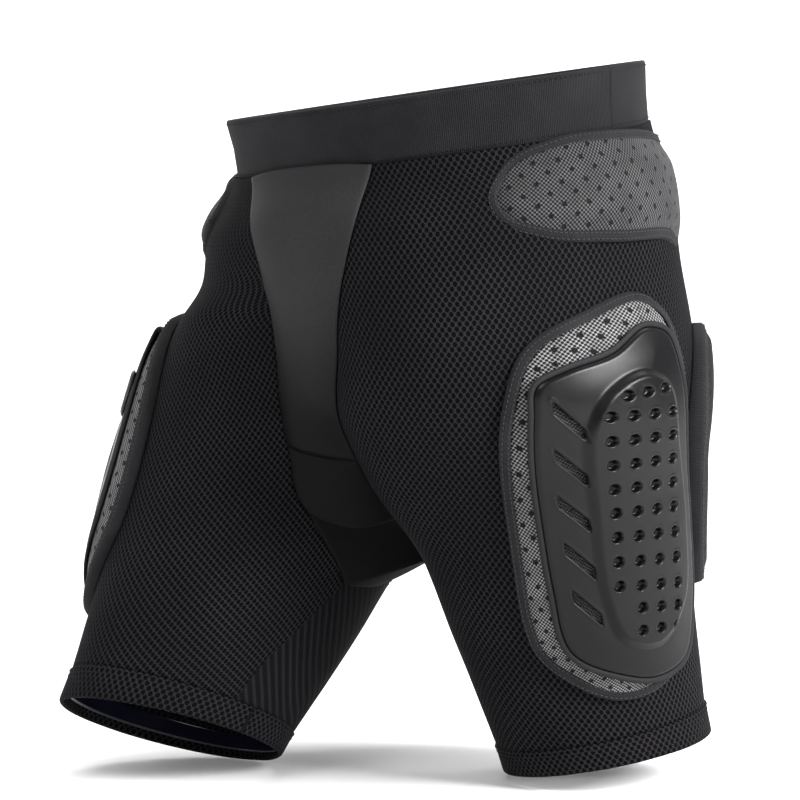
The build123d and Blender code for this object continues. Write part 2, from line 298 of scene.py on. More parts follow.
def closed_spline(points, count):
    """A smooth closed line through outline points."""
    points = np.asarray(points, float)
    n = len(points)
    gaps = np.linalg.norm(np.roll(points, -1, 0) - points, axis=1)
    wrapped = np.concatenate([points[-3:], points, points[:4]])
    steps = np.concatenate([gaps[-3:], gaps, gaps[:3]])**0.75
    knots = np.concatenate([[0], np.cumsum(steps)])
    fine = np.linspace(knots[3], knots[3 + n], count * 6, endpoint=False)
    line = hermite(knots, wrapped, fine)
    looped = np.concatenate([line, line[:1]])
    run = run_along(looped)
    want = np.linspace(0, run[-1], count, endpoint=False)
    return np.stack([np.interp(want, run, looped[:, k]) for k in range(points.shape[1])], 1)


def inside_distance(points, outline):
    """Distance to a closed outline, positive inside, the nearest point on it and how far round it is."""
    flat = points.reshape(-1, 2)
    start, end = outline, np.roll(outline, -1, 0)
    run = end - start
    steps = np.hypot(*run.T)
    best = np.full(len(flat), 1e9)
    near = np.zeros_like(flat)
    round_to = np.zeros(len(flat))
    crossings = np.zeros(len(flat), int)
    for a, b, r, before, step in zip(start, end, run, np.cumsum(steps) - steps, steps):
        t = np.clip(((flat - a) @ r) / max(r @ r, 1e-9), 0, 1)
        spot = a + t[:, None] * r
        gap = np.hypot(*(flat - spot).T)
        closer = gap < best
        best[closer], near[closer] = gap[closer], spot[closer]
        round_to[closer] = before + t[closer] * step
        spans = (a[1] > flat[:, 1]) != (b[1] > flat[:, 1])
        if abs(b[1] - a[1]) > 1e-9:
            cut = a[0] + (flat[:, 1] - a[1]) * (b[0] - a[0]) / (b[1] - a[1])
            crossings += spans & (flat[:, 0] < cut)
    signed = np.where(crossings % 2 == 1, best, -best)
    shape = points.shape[:-1]
    return signed.reshape(shape), near.reshape(points.shape), round_to.reshape(shape)


class Ground:
    """A surface seen flat: arc millimetres across by millimetres down."""

    def __init__(self, surface, radius):
        self.surface, self.radius = surface, radius

    def flat(self, outline):
        return [(math.radians(angle) * self.radius, down) for angle, down in outline]

    def at(self, flat, lift):
        flat = np.asarray(flat, float)
        return self.surface(np.degrees(flat[..., 0] / self.radius), flat[..., 1], lift)


def patch(name, ground, outline, step, height, pick=None):
    """A trimmed grid over an outline, raised by height(flat, distance)."""
    low, high = outline.min(0) - step, outline.max(0) + step
    xs = np.arange(low[0], high[0] + step, step)
    ys = np.arange(low[1], high[1] + step, step)
    flat = np.stack(np.meshgrid(xs, ys), -1)
    distance, near, round_to = inside_distance(flat, outline)
    keep = distance > -step * 0.75
    snap = distance < step * 0.25
    flat = np.where((keep & snap)[..., None], near, flat)
    distance = np.where(snap, 0, distance)
    number = np.cumsum(keep.ravel()).reshape(keep.shape) - 1
    whole = keep[:-1, :-1] & keep[1:, :-1] & keep[:-1, 1:] & keep[1:, 1:]
    corners = number[:-1, :-1], number[:-1, 1:], number[1:, 1:], number[1:, :-1]
    faces = np.stack([corner[whole] for corner in corners], 1)
    spots, gaps = flat[keep], distance[keep]
    points, _ = ground.at(spots, height(spots, gaps))
    middles = spots[faces].mean(1)
    indices = pick(middles) if pick else None
    total = np.hypot(*(np.roll(outline, -1, 0) - outline).T).sum()
    whole_turns = round(total / HOLE_PITCH) * HOLE_PITCH / total
    edge = np.stack([gaps, round_to[keep] * whole_turns], -1)
    thing = make(name, points, faces, uv=spots, edge=edge, indices=indices)
    loose_clean(thing)
    turn_to(thing, ground, spots)
    return thing


def loose_clean(thing):
    """Takes out vertices that no face uses."""
    with opened(thing) as work:
        stray = [vertex for vertex in work.verts if not vertex.link_faces]
        bmesh.ops.delete(work, geom=stray, context="VERTS")


def turn_to(thing, ground, spots):
    """Flips the faces if they look into the body."""
    middle = spots.mean(0)
    point, normal = ground.at(middle, np.array(0.0))
    mesh = thing.data
    centre = Vector(point * MM)
    best = min(mesh.polygons, key=lambda face: (face.center - centre).length)
    if best.normal.dot(Vector(normal)) < 0:
        mesh.flip_normals()


def frames_along(line, normals, closed):
    """Along, across and up directions at each point of a line on a surface."""
    if closed:
        run = np.roll(line, -1, 0) - np.roll(line, 1, 0)
    else:
        run = np.gradient(line, axis=0)
    run /= np.linalg.norm(run, axis=1, keepdims=True)
    up = normals - run * (normals * run).sum(1, keepdims=True)
    up /= np.linalg.norm(up, axis=1, keepdims=True)
    return run, np.cross(run, up), up


def run_along(line):
    """Distance along a line to each of its points."""
    return np.concatenate([[0], np.cumsum(np.linalg.norm(np.diff(line, axis=0), axis=1))])


def sweep(name, line, normals, profile, closed=True):
    """A closed profile of (across, up) points carried along a line."""
    profile = np.asarray(profile, float)
    run, across, up = frames_along(line, normals, closed)
    if profile.ndim == 2:
        profile = np.broadcast_to(profile, (len(line),) + profile.shape)
    points = line[:, None] + across[:, None] * profile[..., 0, None] + up[:, None] * profile[..., 1, None]
    rows, columns = points.shape[:2]
    uv = np.stack(np.broadcast_arrays(run_along(line)[:, None], run_along(profile[0])[None]), -1)
    faces = grid_faces(rows, columns, closed=True, closed_rows=closed)
    if not closed:
        faces.append(tuple(range(columns))[::-1])
        faces.append(tuple((rows - 1) * columns + k for k in range(columns)))
    thing = make(name, points, faces, uv=uv)
    turn_out(thing)
    return thing


STITCH_LENGTH = 2.3
STITCH_GAP = 1.0
THREAD_RADIUS = 0.33
THREAD_SIDES = 6
# one stitch: place along it in lengths, thickness in thread radii, rise above the fabric
STITCH = [(-0.5, 0.35, -0.25), (-0.33, 0.9, 0.12), (0.0, 1.0, 0.22), (0.33, 0.9, 0.12), (0.5, 0.35, -0.25)]


def stitches(name, runs, material):
    """Short thread stitches along closed lines: each run is (line, normals)."""
    points, faces = [], []
    sides = THREAD_SIDES
    for line, normals in runs:
        line, normals = np.concatenate([line, line[:1]]), np.concatenate([normals, normals[:1]])
        run, across, up = frames_along(line, normals, False)
        lengths = run_along(line)
        count = int(lengths[-1] / (STITCH_LENGTH + STITCH_GAP))
        for k in range(count):
            at = (k + 0.5) * lengths[-1] / count
            place = np.array([np.interp(at, lengths, line[:, m]) for m in range(3)])
            near = np.searchsorted(lengths, at)
            along, high = run[near], up[near]
            side = np.cross(along, high)
            base = len(points)
            for share, size, rise in STITCH:
                thick = THREAD_RADIUS * size
                for q in range(sides):
                    turn = 2 * math.pi * q / sides
                    points.append(place + along * share * STITCH_LENGTH + side * math.cos(turn) * thick
                                  + high * (math.sin(turn) * thick + rise))
            rows = len(STITCH)
            faces += [tuple(base + k for k in face) for face in grid_faces(rows, sides, closed=True)]
            faces.append(tuple(base + q for q in range(sides))[::-1])
            faces.append(tuple(base + (rows - 1) * sides + q for q in range(sides)))
    thing = make(name, points, faces)
    turn_out(thing)
    return dress(thing, material)


# ---- materials
def scaled(colour, share):
    return tuple(channel * share for channel in colour)


class Nodes:
    """Short calls for building one material."""

    def __init__(self, name):
        self.material = bpy.data.materials.new(name)
        self.material.use_nodes = True
        self.tree = self.material.node_tree
        self.shader = self.tree.nodes["Principled BSDF"]
        self.uv = self.tree.nodes.new("ShaderNodeUVMap").outputs[0]
        self.uv.node.uv_map = "UVMap"
        self.edge = self.tree.nodes.new("ShaderNodeUVMap").outputs[0]
        self.edge.node.uv_map = "EdgeMap"
        self.place = self.tree.nodes.new("ShaderNodeTexCoord").outputs["Object"]

    def link(self, value, socket):
        """Feeds a socket from another one or with a constant. Colours have no alpha."""
        if isinstance(value, (int, float, tuple)):
            socket.default_value = value + (1.0,) if socket.type == "RGBA" else value
        else:
            self.tree.links.new(value, socket)

    def add(self, kind, output, inputs, **settings):
        """Makes a node with its settings and inputs, and gives the output asked for."""
        node = self.tree.nodes.new("ShaderNode" + kind)
        for key, value in settings.items():
            setattr(node, key, value)
        for socket, value in inputs.items():
            self.link(value, node.inputs[socket])
        return node.outputs[output]

    def math(self, operation, a, b=0.0):
        return self.add("Math", 0, {0: a, 1: b}, operation=operation)

    def vector(self, operation, a, b=(0.0, 0.0, 0.0)):
        output = "Value" if operation == "LENGTH" else "Vector"
        return self.add("VectorMath", output, {0: a, 1: b}, operation=operation)

    def step(self, value, low, high):
        ends = {"Value": value, "From Min": low, "From Max": high}
        return self.add("MapRange", "Result", ends, interpolation_type="SMOOTHSTEP")

    def noise(self, scale, detail=2.0):
        return self.add("TexNoise", "Fac", {"Vector": self.place, "Scale": scale, "Detail": detail})

    def mix(self, share, a, b):
        return self.add("Mix", 2, {0: share, 6: a, 7: b}, data_type="RGBA")

    def split(self, vector, axis):
        return self.add("SeparateXYZ", axis, {0: vector})

    def bump(self, height, distance, strength):
        return self.add("Bump", "Normal", {"Strength": strength, "Distance": distance, "Height": height})

    def spots(self, pitch_x, pitch_y, stretch=1.0, shift=(0.0, 0.0), uv=None):
        """Distance, in pitches across, to the nearest spot of a staggered lattice on the UVs."""
        scaled = self.vector("MULTIPLY", uv or self.uv, (1000 / pitch_x, 1000 / pitch_y, 0.0))
        found = []
        for offset in ((0.0, 0.0), (0.5, 0.5)):
            moved = self.vector("ADD", scaled, (offset[0] + shift[0], offset[1] + shift[1], 0.0))
            cell = self.vector("SUBTRACT", self.vector("FRACTION", moved), (0.5, 0.5, 0.0))
            sized = self.vector("MULTIPLY", cell, (1.0, pitch_y / pitch_x * stretch, 0.0))
            found.append(self.vector("LENGTH", sized))
        return self.math("MINIMUM", found[0], found[1])

    def finish(self, colour, rough, normal=None, sheen=0.0, specular=0.5):
        self.link(colour, self.shader.inputs["Base Color"])
        self.link(rough, self.shader.inputs["Roughness"])
        if normal:
            self.link(normal, self.shader.inputs["Normal"])
        self.shader.inputs["Sheen Weight"].default_value = sheen
        self.shader.inputs["Specular IOR Level"].default_value = specular
        return self.material


def mesh_fabric(name, pitch_x, pitch_y, thread, hole, radius=0.33):
    """Warp-knit mesh: dark oval holes in a staggered lattice."""
    n = Nodes(name)
    near = n.spots(pitch_x, pitch_y, 0.8)
    solid = n.step(near, radius - 0.09, radius + 0.05)
    fuzz = n.noise(900.0, 3.0)
    tone = n.mix(n.step(n.noise(14.0, 3.0), 0.35, 0.7), thread, scaled(thread, 1.35))
    colour = n.mix(solid, hole, tone)
    height = n.math("ADD", n.math("MULTIPLY", solid, 0.8), n.math("MULTIPLY", fuzz, 0.25))
    return n.finish(colour, 0.85, n.bump(height, 0.0009, 0.9), specular=0.06)


def pad_cover(name, light, dark, weave=2.7, holes=(17.0, 14.6), hole=1.75, shift=(0.0, 0.0), by_edge=False):
    """Light open mesh over dark foam, with punched holes in a lattice or in rows along the pad's edge."""
    n = Nodes(name)
    near = n.spots(weave, weave)
    thread = n.step(near, 0.22, 0.40)
    gap = n.spots(holes[0], holes[1], 1.0, shift, n.edge if by_edge else n.uv)
    ragged = n.math("ADD", gap, n.math("MULTIPLY", n.math("SUBTRACT", n.noise(700.0), 0.5), 0.05))
    punched = n.step(ragged, hole / holes[0] * 0.75, hole / holes[0] * 1.1)
    patchy = n.step(n.noise(60.0, 3.0), 0.3, 0.7)
    bright = n.mix(patchy, light, scaled(light, 0.72))
    colour = n.mix(thread, dark, bright)
    colour = n.mix(punched, (0.002, 0.002, 0.002), colour)
    height = n.math("ADD", n.math("MULTIPLY", thread, 0.5), n.math("MULTIPLY", punched, 2.2))
    return n.finish(colour, 0.75, n.bump(height, 0.0011, 0.8), sheen=0.03, specular=0.15)


def ribbed(name, tone, pitch, depth=0.0006):
    """Elastic or tape with fine ribs across its run, with painted shade in the troughs between the ribs."""
    n = Nodes(name)
    run, other = n.split(n.uv, 0), n.split(n.uv, 1)
    wave = n.math("SINE", n.math("MULTIPLY", run, 2 * math.pi * 1000 / pitch))
    cross = n.math("SINE", n.math("MULTIPLY", other, 2 * math.pi * 1000 / (pitch * 0.8)))
    height = n.math("ADD", wave, n.math("MULTIPLY", cross, 0.35))
    height = n.math("ADD", height, n.math("MULTIPLY", n.noise(1400.0, 2.0), 0.6))
    # painted shade: the colour darkens into the rib troughs, following the rib wave
    colour = n.mix(n.step(wave, -1.0, 0.9), scaled(tone, 0.55), tone)
    colour = n.mix(n.step(n.noise(25.0, 3.0), 0.35, 0.75), colour, scaled(tone, 1.25))
    return n.finish(colour, 0.85, n.bump(height, depth * 0.35, 0.7), sheen=0.02, specular=0.12)


PAINTED_SHADE_HEIGHTS = (-0.222, -0.135)     # metres, over which the painted shade low down gives way to the painted light towards the waist


def smooth_knit(name, low, high, rough, specular):
    """Satin knit with painted light and shade by height: the low tone is painted shade low down, the high
    tone painted light towards the waist.
    """
    n = Nodes(name)
    fine = n.noise(1100.0, 2.0)
    # painted light and shade: the colour runs from the low tone to the high tone with height
    raised = n.step(n.split(n.place, 2), *PAINTED_SHADE_HEIGHTS)
    colour = n.mix(raised, low, high)
    lighter = n.mix(raised, scaled(low, 1.3), scaled(high, 1.3))
    colour = n.mix(n.step(fine, 0.4, 0.62), colour, lighter)
    return n.finish(colour, rough, n.bump(fine, 0.0003, 0.35), specular=specular)


def plastic(name, tone, rough, grain=0.25, specular=0.5):
    n = Nodes(name)
    speckle = n.noise(2600.0, 3.0)
    wear = n.step(n.noise(35.0, 5.0), 0.45, 0.75)
    colour = n.mix(wear, tone, scaled(tone, 1.25))
    roughness = n.math("ADD", rough, n.math("MULTIPLY", wear, 0.08))
    return n.finish(colour, roughness, n.bump(speckle, 0.0002, grain), specular=specular)


def thread(name, tone):
    n = Nodes(name)
    wave = n.math("SINE", n.math("MULTIPLY", n.noise(500.0, 1.0), 30.0))
    return n.finish(tone, 0.7, n.bump(wave, 0.0002, 0.4), specular=0.15)


BODY_MESH = mesh_fabric("hexagon_mesh", 4.3, 6.2, (0.0125, 0.0117, 0.0138), (0.0006, 0.0006, 0.0007))
FINE_MESH = mesh_fabric("fine_mesh", 2.6, 3.6, (0.0110, 0.0104, 0.0120), (0.0012, 0.0016, 0.0018), 0.30)
BAND_KNIT = ribbed("waistband_rib_knit", (0.0115, 0.0108, 0.0125), 1.25)
# both knits carry painted shade low down and painted light higher up
PANEL_KNIT = smooth_knit("smooth_stretch_knit", (0.0025, 0.0024, 0.0026), (0.0185, 0.0181, 0.0192), 0.5, 0.08)
GUSSET_KNIT = smooth_knit("gusset_knit", (0.0048, 0.0046, 0.0050), (0.012, 0.0118, 0.0125), 0.75, 0.05)
HIP_COVER = pad_cover("diamond_mesh_cover", (0.095, 0.095, 0.10), (0.004, 0.004, 0.004), 2.9)
THIGH_COVER = pad_cover("checker_mesh_cover", (0.27, 0.27, 0.275), (0.004, 0.004, 0.004), 2.5,
                        holes=(11.0, HOLE_PITCH), hole=1.7, shift=(0.09, 0.0), by_edge=True)
SEAT_COVER = pad_cover("seat_mesh_cover", (0.008, 0.008, 0.009), (0.003, 0.003, 0.003))
SLOT_FLOOR = pad_cover("slot_floor_mesh", (0.07, 0.07, 0.07), (0.003, 0.003, 0.003), 2.2, hole=0.5)
TAPE = ribbed("grosgrain_tape", (0.016, 0.016, 0.0175), 1.0, depth=0.0007)
SHELL_PLASTIC = plastic("moulded_shell", (0.0020, 0.0020, 0.0025), 0.30, specular=0.21)
TRIM_RUBBER = plastic("textured_trim", (0.008, 0.008, 0.009), 0.65, 1.0, specular=0.2)
GRIPPER = plastic("silicone_gripper", (0.006, 0.006, 0.014), 0.14, 0.04)
BADGE_PLASTIC = plastic("badge_plastic", (0.03, 0.028, 0.028), 0.2, 0.05)
THREAD = thread("sewing_thread", (0.035, 0.035, 0.038))
DARK_THREAD = thread("dark_thread", (0.009, 0.009, 0.011))


# ---- fabric of each side
def seam_line(side, count=90):
    """The line where the side mesh meets the front panel, the gusset and the inner thigh panel."""
    front = np.linspace(SEAM_DOWN, GUSSET_LOW[side], count)
    rear = np.linspace(GUSSET_LOW[side], REAR_TIP, count)
    first, _ = side_surface(side, front_edge(side, front), front)
    second, _ = side_surface(side, gusset_rear(side, rear), rear)
    return np.concatenate([first, second])


SEAMS = {side: seam_line(side) for side in LEGS}


def gap_to(points, line):
    flat = points.reshape(-1, 3)
    best = np.full(len(flat), 1e9)
    for spot in line:
        best = np.minimum(best, ((flat - spot)**2).sum(1))
    return np.sqrt(best).reshape(points.shape[:-1])


def leg_share(side, angle, down, points):
    """How far a point follows the leg: 0 with the hips, 1 with the leg."""
    outer = np.cos(np.radians(angle)).clip(0, 1)**1.2
    return ease(-66, 70 - 78 * outer, down) * ease(6, 84, gap_to(points, SEAMS[side]))


def cloth_lift(points, angle, down):
    """Small slack waves: more round the crotch and the hip crease than on the tight thigh."""
    crease = np.exp(-((down - 20) / 75)**2) * (1 - np.cos(np.radians(angle)).clip(0, 1) * 0.8)
    wave = sway(points * np.array([1.0, 1.0, 1.8]), 70.0, 3) * 0.5 + sway(points, 34.0, 11) * 0.22
    return wave * (0.35 + 1.3 * crease)


def flat_map(side, angle, down):
    """Fabric lengths across and down at each point, so that the knit keeps its size."""
    reach, columns, rows = 200, 161, 140
    angles = np.linspace(-reach, reach, columns)
    downs = np.linspace(SEAM_DOWN, HEM_END[side], rows)
    table, _ = side_surface(side, angles[None], downs[:, None])
    across = np.linalg.norm(np.diff(table, axis=1), axis=2)
    across = np.concatenate([np.zeros((rows, 1)), np.cumsum(across, 1)], 1)
    across -= across[:, columns // 2, None]
    along = np.linalg.norm(np.diff(table, axis=0), axis=2)
    along = np.concatenate([np.zeros((1, columns)), np.cumsum(along, 0)], 0)
    just_inside = 1.001
    column = np.clip((angle + reach) / (2 * reach) * (columns - 1), 0, columns - just_inside)
    row = np.clip((down - SEAM_DOWN) / (HEM_END[side] - SEAM_DOWN) * (rows - 1), 0, rows - just_inside)
    i, j = row.astype(int), column.astype(int)
    p, q = row - i, column - j

    def read(grid):
        top = grid[i, j] * (1 - q) + grid[i, j + 1] * q
        low = grid[i + 1, j] * (1 - q) + grid[i + 1, j + 1] * q
        return top * (1 - p) + low * p
    return np.stack([read(across), read(along)], -1)


FABRIC = 1.0                # thickness of the knit and the mesh


def fabric(name, side, downs, first, last, columns, material):
    """A sheet of one side between two seam angles, thickened inwards."""
    share = np.linspace(0, 1, columns)
    angle = first[:, None] * (1 - share) + last[:, None] * share
    down = np.broadcast_to(downs[:, None], angle.shape)
    points, _ = side_surface(side, angle, down)
    edge = ease(0, 9, gap_to(points, SEAMS[side])) * ease(SEAM_DOWN, SEAM_DOWN + 14, down)
    edge = edge * (1 - ease(HEM_END[side] - 34, HEM_END[side] - 20, down))
    points, _ = side_surface(side, angle, down, cloth_lift(points, angle, down) * edge)
    thing = make(name, points, grid_faces(len(downs), columns), uv=flat_map(side, angle, down))
    mesh = thing.data
    face = mesh.polygons[len(mesh.polygons) // 2]
    leg_middle = side * 80 * MM
    if face.normal.dot(Vector((face.center.x - leg_middle, face.center.y, 0))) < 0:
        mesh.flip_normals()
    turned = leg_share(side, angle, down, points).ravel().astype(np.float32)
    mesh.attributes.new("turned", "FLOAT", "POINT").data.foreach_set("value", turned)
    thicken(thing, FABRIC, material)
    turned = np.zeros(len(thing.data.vertices), np.float32)
    thing.data.attributes["turned"].data.foreach_get("value", turned)
    thing.data.attributes.remove(thing.data.attributes["turned"])
    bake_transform(thing)
    return thing


HEM_ANGLES = np.linspace(-180, 180, 160, endpoint=False)
# (distance below the hem's lower edge, height above the fabric): a turned double edge with a rolled rim
HEM_PROFILE = [(-HEM_DEPTH, 0.0), (-HEM_DEPTH + 0.6, 0.7), (-HEM_DEPTH / 2, 0.95), (-3, 1.0), (-1, 0.9),
               (0.1, 0.2), (0.3, -0.8), (-0.6, -1.8), (-3, -2.1), (-HEM_DEPTH / 2, -1.9), (-HEM_DEPTH, -1.6)]
GRIPPER_TOP, GRIPPER_LOW = -17.0, -5.6
RIB_PITCH, RIB_HEIGHT = 0.55, 0.45
GRIPPER_PROFILE = [(GRIPPER_TOP, -2.3)]
GRIPPER_PROFILE += [(GRIPPER_TOP + 0.6 + k * RIB_PITCH, -2.5 - k % 2 * RIB_HEIGHT) for k in range(19)]
GRIPPER_PROFILE += [(GRIPPER_LOW, -2.2), (GRIPPER_LOW, -1.7), (GRIPPER_TOP, -1.7)]


def side_fabric(side):
    """The mesh of one hip and leg, and the finer panel on the inner thigh."""
    name = LEGS[side]["name"]
    hem_line, low = HEM_END[side] - HEM_DEPTH, GUSSET_LOW[side]
    downs = np.concatenate([np.linspace(SEAM_DOWN, 60, 84)[:-1], np.linspace(60, low, 52)[:-1],
                            np.linspace(low, hem_line, 42)])
    seams = front_edge(side, downs), rear_edge(side, downs)
    main = fabric(name + "_side_mesh", side, downs, *seams, 128, BODY_MESH)
    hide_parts(name + "_hip_mesh", name + "_hip_fold", name + "_leg_mesh")

    lows = np.concatenate([np.linspace(PANEL_TOP, low, 34)[:-1], np.linspace(low, hem_line, 40)])
    inner_last = np.where(lows < low, gusset_rear(side, lows), 360 + front_edge(side, lows))
    panel = fabric(name + "_inner_panel", side, lows, rear_edge(side, lows), inner_last, 40, FINE_MESH)
    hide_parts(name + "_inner_thigh_panel")


def hem(side):
    """The turned hem of one leg, the gripper inside it and two rows of stitches."""
    name = LEGS[side]["name"]

    def hem_ring(drop, lift):
        ripple = (1.2 + 0.25 * np.sin(np.radians(HEM_ANGLES) * 9 + side)) * ease(-20, 0, drop)
        return side_surface(side, HEM_ANGLES, HEM_END[side] + drop, lift + ripple)[0]

    def grip_ring(drop, lift):
        return side_surface(side, HEM_ANGLES, HEM_END[side] + drop, lift)[0]

    band = tube(name + "_hem_band", HEM_PROFILE, hem_ring, HEM_ANGLES, 68, BODY_MESH)
    settle(band, name + "_leg", "knit", name + "_hem")
    grip = tube(name + "_gripper_band", GRIPPER_PROFILE, grip_ring, HEM_ANGLES, 66, GRIPPER)
    settle(grip, name + "_leg", "silicone", name + "_gripper")
    turns = np.linspace(-180, 180, 200, endpoint=False)
    rows = [side_surface(side, turns, HEM_END[side] + drop, 0.95) for drop in (-18.6, -15.4)]
    settle(stitches(name + "_hem_stitches", rows, DARK_THREAD), name + "_leg", "knit")


for side in LEGS:
    side_fabric(side)
    hem(side)

# ---- front panel and gusset
# along the strip: 0 waist, 1 panel's lower seam, 2 crease under the pouch, 3 lowest point, 4 tip at the back
STRIP_STOPS = {1: [SEAM_DOWN, 42, 82, GUSSET_LOW[1], REAR_TIP],
               -1: [SEAM_DOWN, 86, 107, GUSSET_LOW[-1], REAR_TIP]}
# (place along the strip, millimetres): how far it stands out between the seams, and how far it hangs down
BULGE = [(0, 8), (0.35, 7), (0.8, 5), (1, 6), (1.12, 9), (1.5, 14), (1.85, 16), (1.95, 14), (2, 9),
         (2.04, 1), (2.1, -4), (2.3, -7), (2.7, -3), (3, 4), (3.5, 6), (4, 1)]
SAG = [(0, 0), (1.5, 0), (1.85, 2), (1.95, 5), (2.0, 4.5), (2.06, 1), (2.15, 0), (4, 0)]
STRIP_COLUMNS = 41


def strip_points(along):
    """The strip between the two sides, bulged outwards from the line between its seams."""
    edges = {}
    for side in LEGS:
        down = np.interp(along, range(5), STRIP_STOPS[side])
        angle = np.where(along <= 3, front_edge(side, down), gusset_rear(side, down))
        edges[side], _ = side_surface(side, angle, down, 0.15)
    share = np.linspace(-1, 1, STRIP_COLUMNS)[None, :, None]
    flat = edges[-1][:, None] * (0.5 - share / 2) + edges[1][:, None] * (0.5 + share / 2)
    middle = (edges[1] + edges[-1]) / 2
    run = np.gradient(middle, axis=0)
    window = np.hanning(17)
    window /= window.sum()
    padded = np.pad(run, ((8, 8), (0, 0)), mode="edge")
    run = np.stack([np.convolve(padded[:, k], window, "valid") for k in range(3)], 1)
    out = np.stack([0 * run[:, 0], run[:, 2], -run[:, 1]], 1)
    out /= np.linalg.norm(out, axis=1, keepdims=True)
    droop = np.stack([0 * along, 0 * along, -curve(*zip(*SAG), along)], 1)
    rise = out * curve(*zip(*BULGE), along)[:, None] + droop
    return flat + rise[:, None] * (1 - np.abs(share)**2.6)


def strip_mesh(name, points, material, node):
    rows, columns = points.shape[:2]
    lengths = np.linalg.norm(np.diff(points, axis=0), axis=2).mean(1)
    along = np.concatenate([[0], np.cumsum(lengths)])
    widths = np.linalg.norm(np.diff(points, axis=1), axis=2)
    across = np.concatenate([np.zeros((rows, 1)), np.cumsum(widths, 1)], 1)
    across -= across[:, columns // 2][:, None]
    uv = np.stack([across, np.broadcast_to(along[:, None], across.shape)], -1)
    thing = make(name, points, grid_faces(rows, columns), uv=uv)
    thicken(thing, FABRIC, material)
    settle(thing, "hips", "smooth_knit", node)
    return thing


def panel_seam():
    """The raised seam where the front panel meets the gusset."""
    above, line, below = strip_points(np.linspace(0.985, 1.015, 3))
    normals = np.cross(below - above, np.gradient(line, axis=0))
    normals /= np.linalg.norm(normals, axis=1, keepdims=True)
    normals *= -np.sign(normals[:, 1:2])
    ridge = [(-1.3, 0.0), (-0.7, 0.55), (0.7, 0.55), (1.3, 0.0), (0.0, -0.5)]
    seam = dress(sweep("panel_seam_ridge", line, normals, ridge, closed=False), GUSSET_KNIT)
    settle(seam, "hips", "smooth_knit")


front_panel = strip_mesh("smooth_front_panel", strip_points(np.linspace(0, 1, 90)), PANEL_KNIT, "front_panel")
gusset_rows = np.concatenate([np.linspace(1, 1.9, 28)[:-1], np.linspace(1.9, 2.25, 26)[:-1],
                              np.linspace(2.25, 3, 26)[:-1], np.linspace(3, 4, 50)])
gusset = strip_mesh("crotch_panel", strip_points(gusset_rows), GUSSET_KNIT, "crotch_gusset")
panel_seam()

# ---- waistband
BAND_ANGLES = np.linspace(0, 360, 260, endpoint=False)
# (distance below the waist opening, height above the fabric)
BAND_PROFILE = [(38.6, -1.4), (38.9, 0.2), (37.6, 1.2), (34, 1.3), (19, 1.1), (3, 1.3), (0.9, 1.0), (0, 0.0),
                (0.9, -1.2), (3, -1.7), (19, -1.5), (36, -1.6)]


def waistband():
    def ring(drop, lift):
        ripple = 0.35 * np.sin(np.radians(BAND_ANGLES) * 7 + 1) * (1 - ease(0, 12, drop))
        return trunk_surface(BAND_ANGLES, drop, lift + ripple)[0]

    band = tube("knit_waistband", BAND_PROFILE, ring, BAND_ANGLES, 136, BAND_KNIT)
    settle(band, "hips", "knit", "waistband")
    turns = np.linspace(0, 360, 320, endpoint=False)
    rows = [trunk_surface(turns, drop, 1.35) for drop in (35.6, 2.8)]
    settle(stitches("waistband_stitches", rows, DARK_THREAD), "hips", "knit")


waistband()


# ---- pads
def offset_line(outline, amount):
    """The outline moved inwards by amount, in the flat."""
    run = np.roll(outline, -1, 0) - np.roll(outline, 1, 0)
    run /= np.linalg.norm(run, axis=1, keepdims=True)
    inwards = np.stack([-run[:, 1], run[:, 0]], 1)
    area = (outline[:, 0] * np.roll(outline[:, 1], -1) - outline[:, 1] * np.roll(outline[:, 0], -1)).sum()
    return outline + inwards * (amount if area > 0 else -amount)


def inwards_along(line, normals):
    """Across and up directions of a closed line, and the sign that turns across into the outline."""
    _, across, up = frames_along(line, normals, True)
    return across, up, 1 if across[0] @ (line.mean(0) - line[0]) > 0 else -1


CUSHION_INSET = 5.5         # from the pad's edge to the cushion's, under the tape
CUSHION_SKIN = 2.4


def no_bridge(flat):
    return np.zeros(flat.shape[:-1])


def soft_pad(prefix, body, ground, points, height, cover, edge_height=3.4, slope=15.0, bridge=no_bridge):
    """A raised foam pad with a mesh cover and a bound edge. bridge lifts it where it spans a hollow."""
    outline = closed_spline(ground.flat(points), 240)
    inner = offset_line(outline, CUSHION_INSET)

    def rise(flat, distance):
        swell = 1 + 0.05 * np.sin(flat[..., 0] / 13 + 1) * np.sin(flat[..., 1] / 17)
        return bridge(flat) + edge_height + (height - edge_height) * ease(-3, slope, distance) * swell
    top = patch(prefix + "_cushion", ground, inner, 2.0, rise)
    thicken(top, CUSHION_SKIN, cover)
    settle(top, body, "pad_mesh", prefix + "_foam", prefix + "_cover")

    line, normals = ground.at(outline, np.zeros(len(outline)))
    across, up, towards = inwards_along(line, normals)
    rim = (edge_height + 0.6 + bridge(outline))[:, None]
    one = np.ones_like(rim)
    inset = np.array([7.0, 6.2, 3.5, 1.4, 0.3, 0.0, 0.4, 1.6, 1.4, 2.2, 4.5, 6.8]) * towards
    upper = [rim + rise for rise in (0.9, 1.15, 0.75, -0.2, -1.6)]
    under = [one * rise for rise in (1.2, 0, 0.2, 1.4)]
    lift = np.concatenate(upper + under + [rim - 1.2, rim - 0.2, rim - 0.1], 1)
    shape = np.stack([np.broadcast_to(inset, lift.shape), lift], -1)
    binding = dress(sweep(prefix + "_tape", line, normals, shape), TAPE)
    settle(binding, body, "tape", prefix + "_binding")
    rows = [(line + across * towards * inset + up * (rim + height), up)
            for inset, height in ((1.9, 0.15), (5.6, 1.05))]
    settle(stitches(prefix + "_stitches", rows, THREAD), body, "tape")


